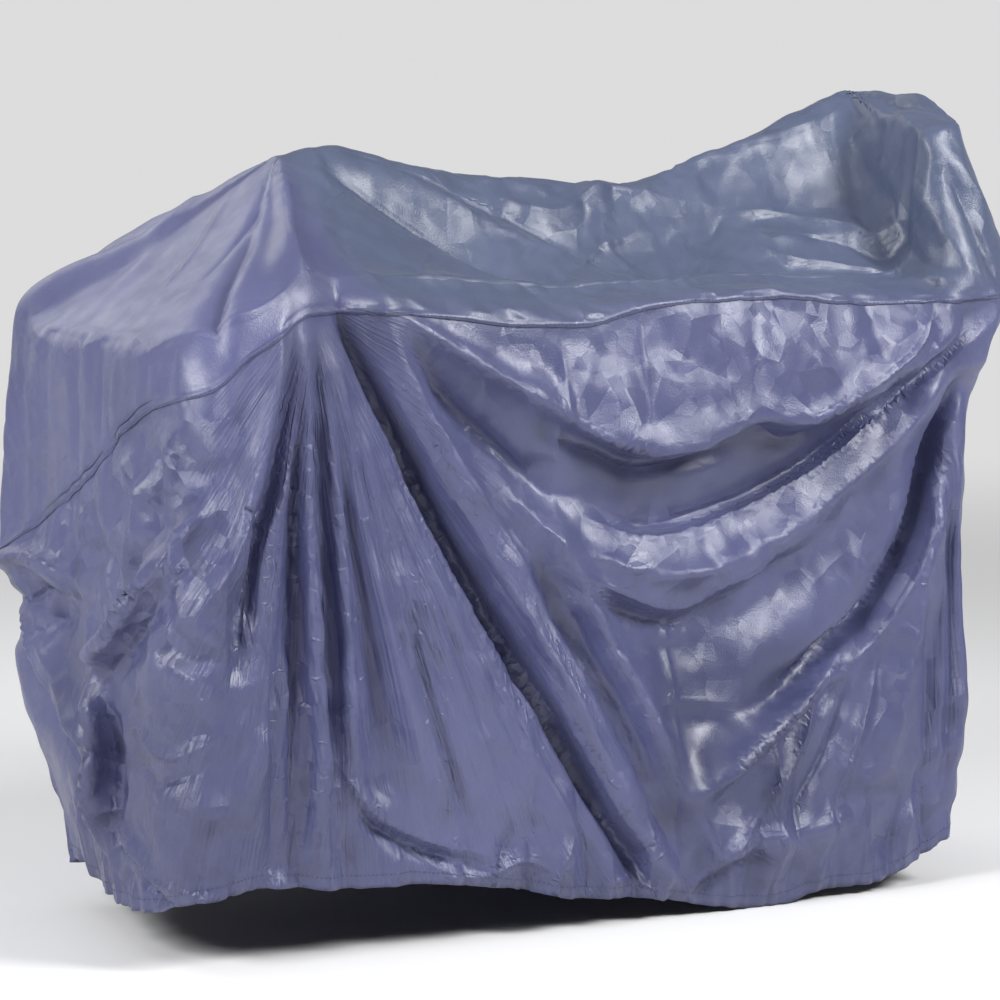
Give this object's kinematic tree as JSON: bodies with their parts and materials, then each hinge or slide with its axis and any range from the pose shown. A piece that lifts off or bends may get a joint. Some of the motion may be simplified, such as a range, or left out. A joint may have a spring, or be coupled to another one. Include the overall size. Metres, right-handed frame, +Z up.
{
  "type": "mobility scooter cover",
  "caption": "Fitted waterproof cloth cover for a mobility scooter: a draped top panel sewn to a pleated skirt with an elasticated hem, hollow and open below.",
  "frame": {"origin": "on the floor, under the middle of the cover's overall box", "axes": "+Z up, -X towards the cover's front, over the handlebars, +X towards its seat back, -Y the side best seen"},
  "size_m": [1.4299, 0.6929, 1.18],
  "materials": {
    "coated_cloth": "satin",
    "coated_cloth_top": "satin"
  },
  "bodies": {
    "root": {"skirt": "coated_cloth", "top_panel": "coated_cloth_top"}
  },
  "joints": []
}
